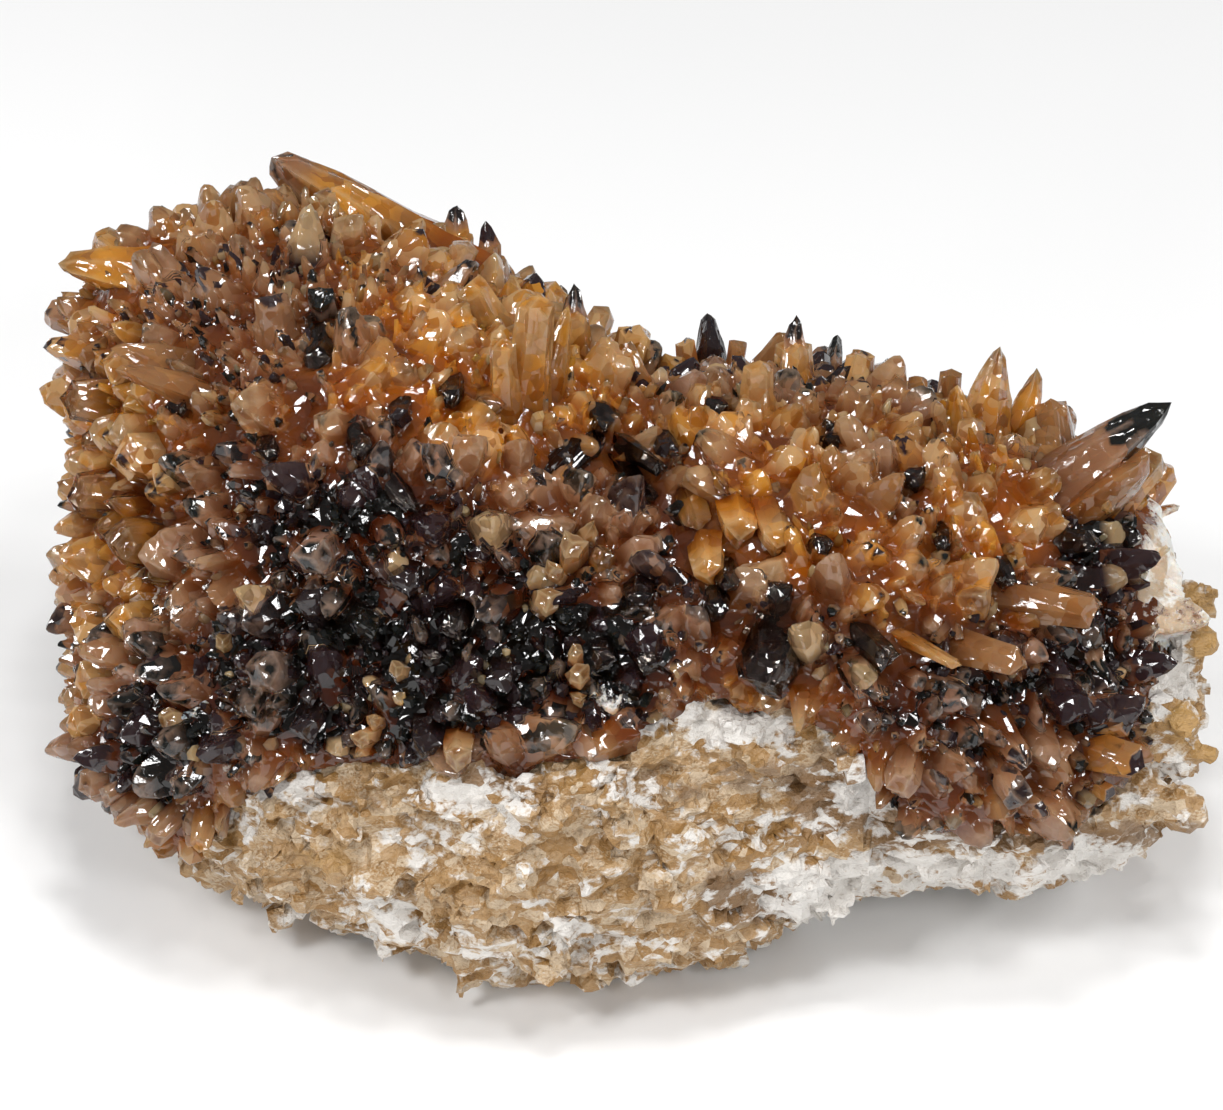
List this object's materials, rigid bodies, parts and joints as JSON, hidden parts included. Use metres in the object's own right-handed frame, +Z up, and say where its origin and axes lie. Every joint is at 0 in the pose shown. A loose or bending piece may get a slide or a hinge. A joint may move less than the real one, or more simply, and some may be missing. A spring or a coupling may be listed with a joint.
{
  "type": "calcite crystal specimen",
  "caption": "Mineral specimen: a long mound of pointed honey and smoky calcite crystals on a pale, broken calcite matrix with a flat underside to rest on.",
  "frame": {"origin": "on the flat underside of the matrix, near its middle", "axes": "+X along the specimen's length, to the right as it is seen from the front; -Y towards the front, where the crystals face; +Z up, away from the flat underside"},
  "size_m": [0.1857, 0.1354, 0.0985],
  "materials": {
    "matrix": "pale tan and white broken calcite, dull, with small glossy cleavages",
    "calcite_crystals": "glassy translucent honey-brown crystals with smoky, nearly black tips and cores"
  },
  "bodies": {
    "root": {"matrix": "matrix", "calcite_crystals": "calcite_crystals"}
  },
  "joints": []
}
